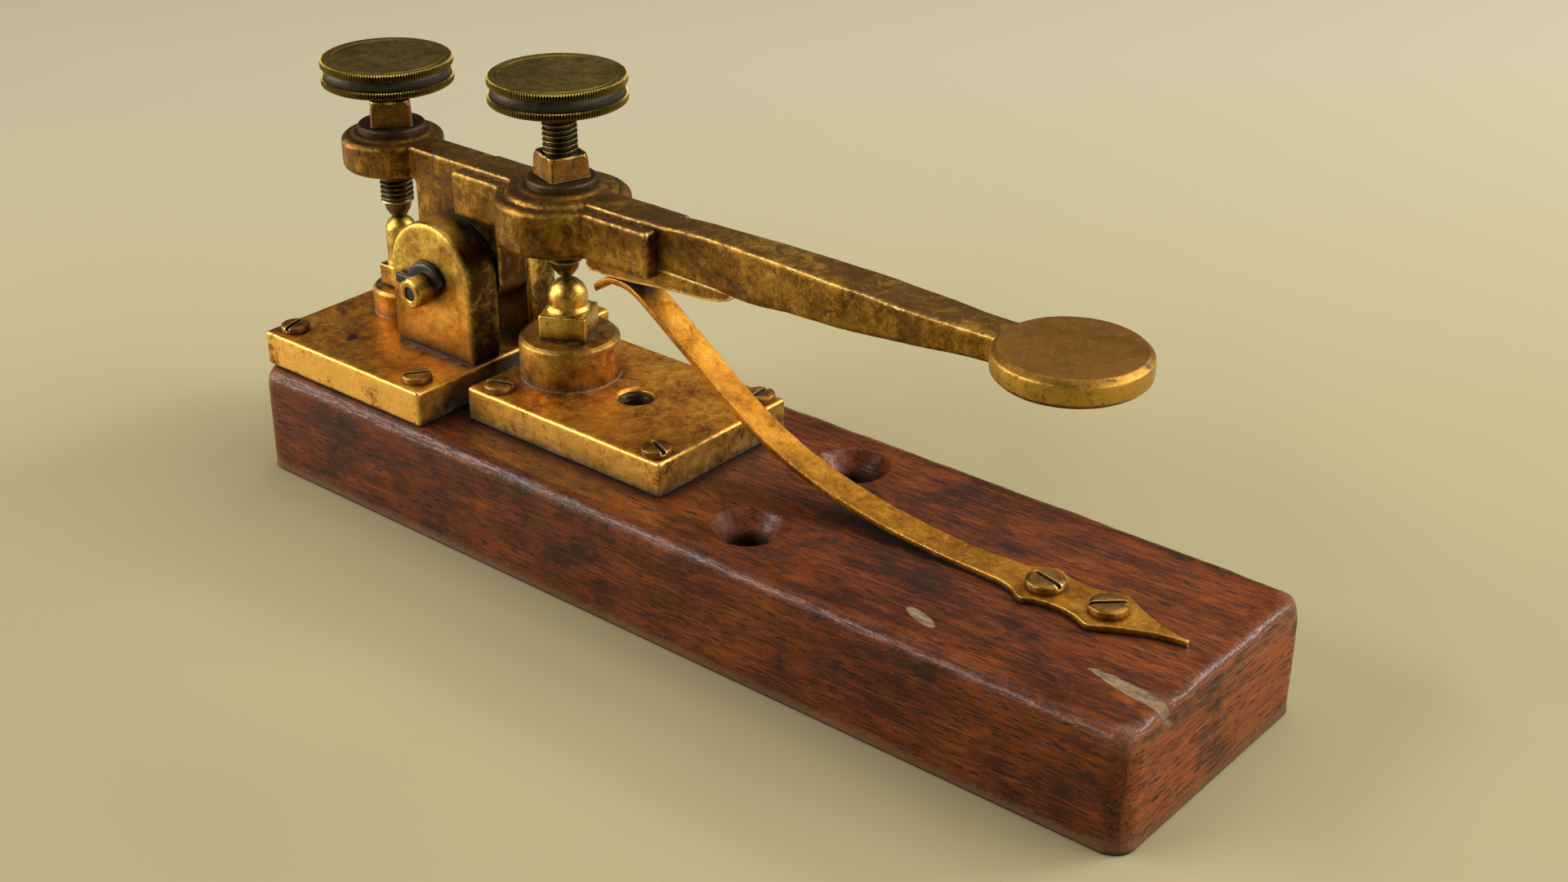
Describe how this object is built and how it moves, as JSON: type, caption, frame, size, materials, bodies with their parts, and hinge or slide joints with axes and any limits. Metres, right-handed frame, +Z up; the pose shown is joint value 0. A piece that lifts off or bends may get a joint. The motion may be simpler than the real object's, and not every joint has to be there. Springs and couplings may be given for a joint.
{
  "type": "morse key",
  "caption": "Straight morse key with a rocking brass lever, knurled adjusting screws, a leaf spring and a finger disc on a wooden base.",
  "frame": {"origin": "middle of the wooden base's underside", "axes": "+X along the base towards the finger disc, +Y across it to the right of an operator who faces -X, +Z up"},
  "size_m": [0.2, 0.055, 0.0868],
  "materials": {
    "wood": "dark mahogany under a worn gloss varnish",
    "plate_brass": "aged brass with an orange patina and bright worn edges",
    "lever_brass": "olive-brown aged brass, rubbed bright in places",
    "bright_brass": "polished brass with dark tarnish in the corners",
    "dark_brass": "darkened brass thread with bright crests",
    "knob_brass": "dark olive aged brass with worn knurled rims",
    "nut_brass": "dull brown aged brass",
    "spring_brass": "orange-gold spring brass with bright edges",
    "screw_brass": "aged brass with a dirty slot",
    "washer_steel": "dark grey-brown worn steel",
    "steel": "dull dark steel",
    "black_steel": "blackened steel"
  },
  "bodies": {
    "base": {"wood_base": "wood", "front_plate": "plate_brass", "rear_plate": "plate_brass", "near_pivot_post": "plate_brass", "far_pivot_post": "plate_brass", "front_contact_boss": "plate_brass", "front_contact_stud": "bright_brass", "rear_contact_boss": "plate_brass", "rear_contact_stud": "bright_brass", "pivot_axle": "bright_brass", "axle_core": "steel", "retaining_clip": "black_steel", "spring_foot": "spring_brass", "spring_screws": "screw_brass", "front_plate_screws": "screw_brass", "rear_plate_screws": "screw_brass"},
    "lever": {"lever_arm": "lever_brass", "lever_saddle": "lever_brass", "spring_wedge": "lever_brass", "finger_disc": "lever_brass", "front_washer": "washer_steel", "rear_washer": "washer_steel"},
    "spring": {"spring_blade": "spring_brass"},
    "front_point": {"front_contact_tip": "dark_brass"},
    "front_adjuster": {"front_screw": "dark_brass", "front_knob": "knob_brass"},
    "front_nut": {"front_lock_nut": "nut_brass"},
    "rear_point": {"rear_contact_tip": "dark_brass"},
    "rear_adjuster": {"rear_screw": "dark_brass", "rear_knob": "knob_brass"},
    "rear_nut": {"rear_lock_nut": "nut_brass"}
  },
  "joints": [
    {"name": "lever_rock", "type": "hinge", "parent": "base", "child": "lever", "pos_m": [-0.06545, 0, 0.04285], "axis": [0, 1, 0], "range_deg": [0, 1], "stiffness_Nm_per_rad": 2.5, "springref_deg": -5.73},
    {"name": "spring_flex", "type": "hinge", "parent": "base", "child": "spring", "pos_m": [0.05, 0, 0.02262], "axis": [0, 1, 0], "range_deg": [-0.6, 0]},
    {"name": "front_screw_rise", "type": "slide", "parent": "lever", "child": "front_point", "axis": [0, 0, 1], "range_m": [0, 0.002]},
    {"name": "front_screw_turn", "type": "hinge", "parent": "front_point", "child": "front_adjuster", "pos_m": [-0.0404, 0, 0.06], "axis": [0, 0, 1], "range_deg": [0, 720]},
    {"name": "front_nut_turn", "type": "hinge", "parent": "lever", "child": "front_nut", "pos_m": [-0.0404, 0, 0.07], "axis": [0, 0, 1], "range_deg": [0, 180]},
    {"name": "rear_screw_rise", "type": "slide", "parent": "lever", "child": "rear_point", "axis": [0, 0, 1], "range_m": [0, 0.002]},
    {"name": "rear_screw_turn", "type": "hinge", "parent": "rear_point", "child": "rear_adjuster", "pos_m": [-0.0863, 0, 0.06], "axis": [0, 0, 1], "range_deg": [0, 720]},
    {"name": "rear_nut_turn", "type": "hinge", "parent": "lever", "child": "rear_nut", "pos_m": [-0.0863, 0, 0.07], "axis": [0, 0, 1], "range_deg": [0, 180]}
  ],
  "couplings": [
    {"joint": "spring_flex", "follows": "lever_rock", "ratio": -0.529},
    {"joint": "front_screw_turn", "follows": "front_screw_rise", "rad_per_m": 6283.2},
    {"joint": "rear_screw_turn", "follows": "rear_screw_rise", "rad_per_m": 6283.2}
  ]
}
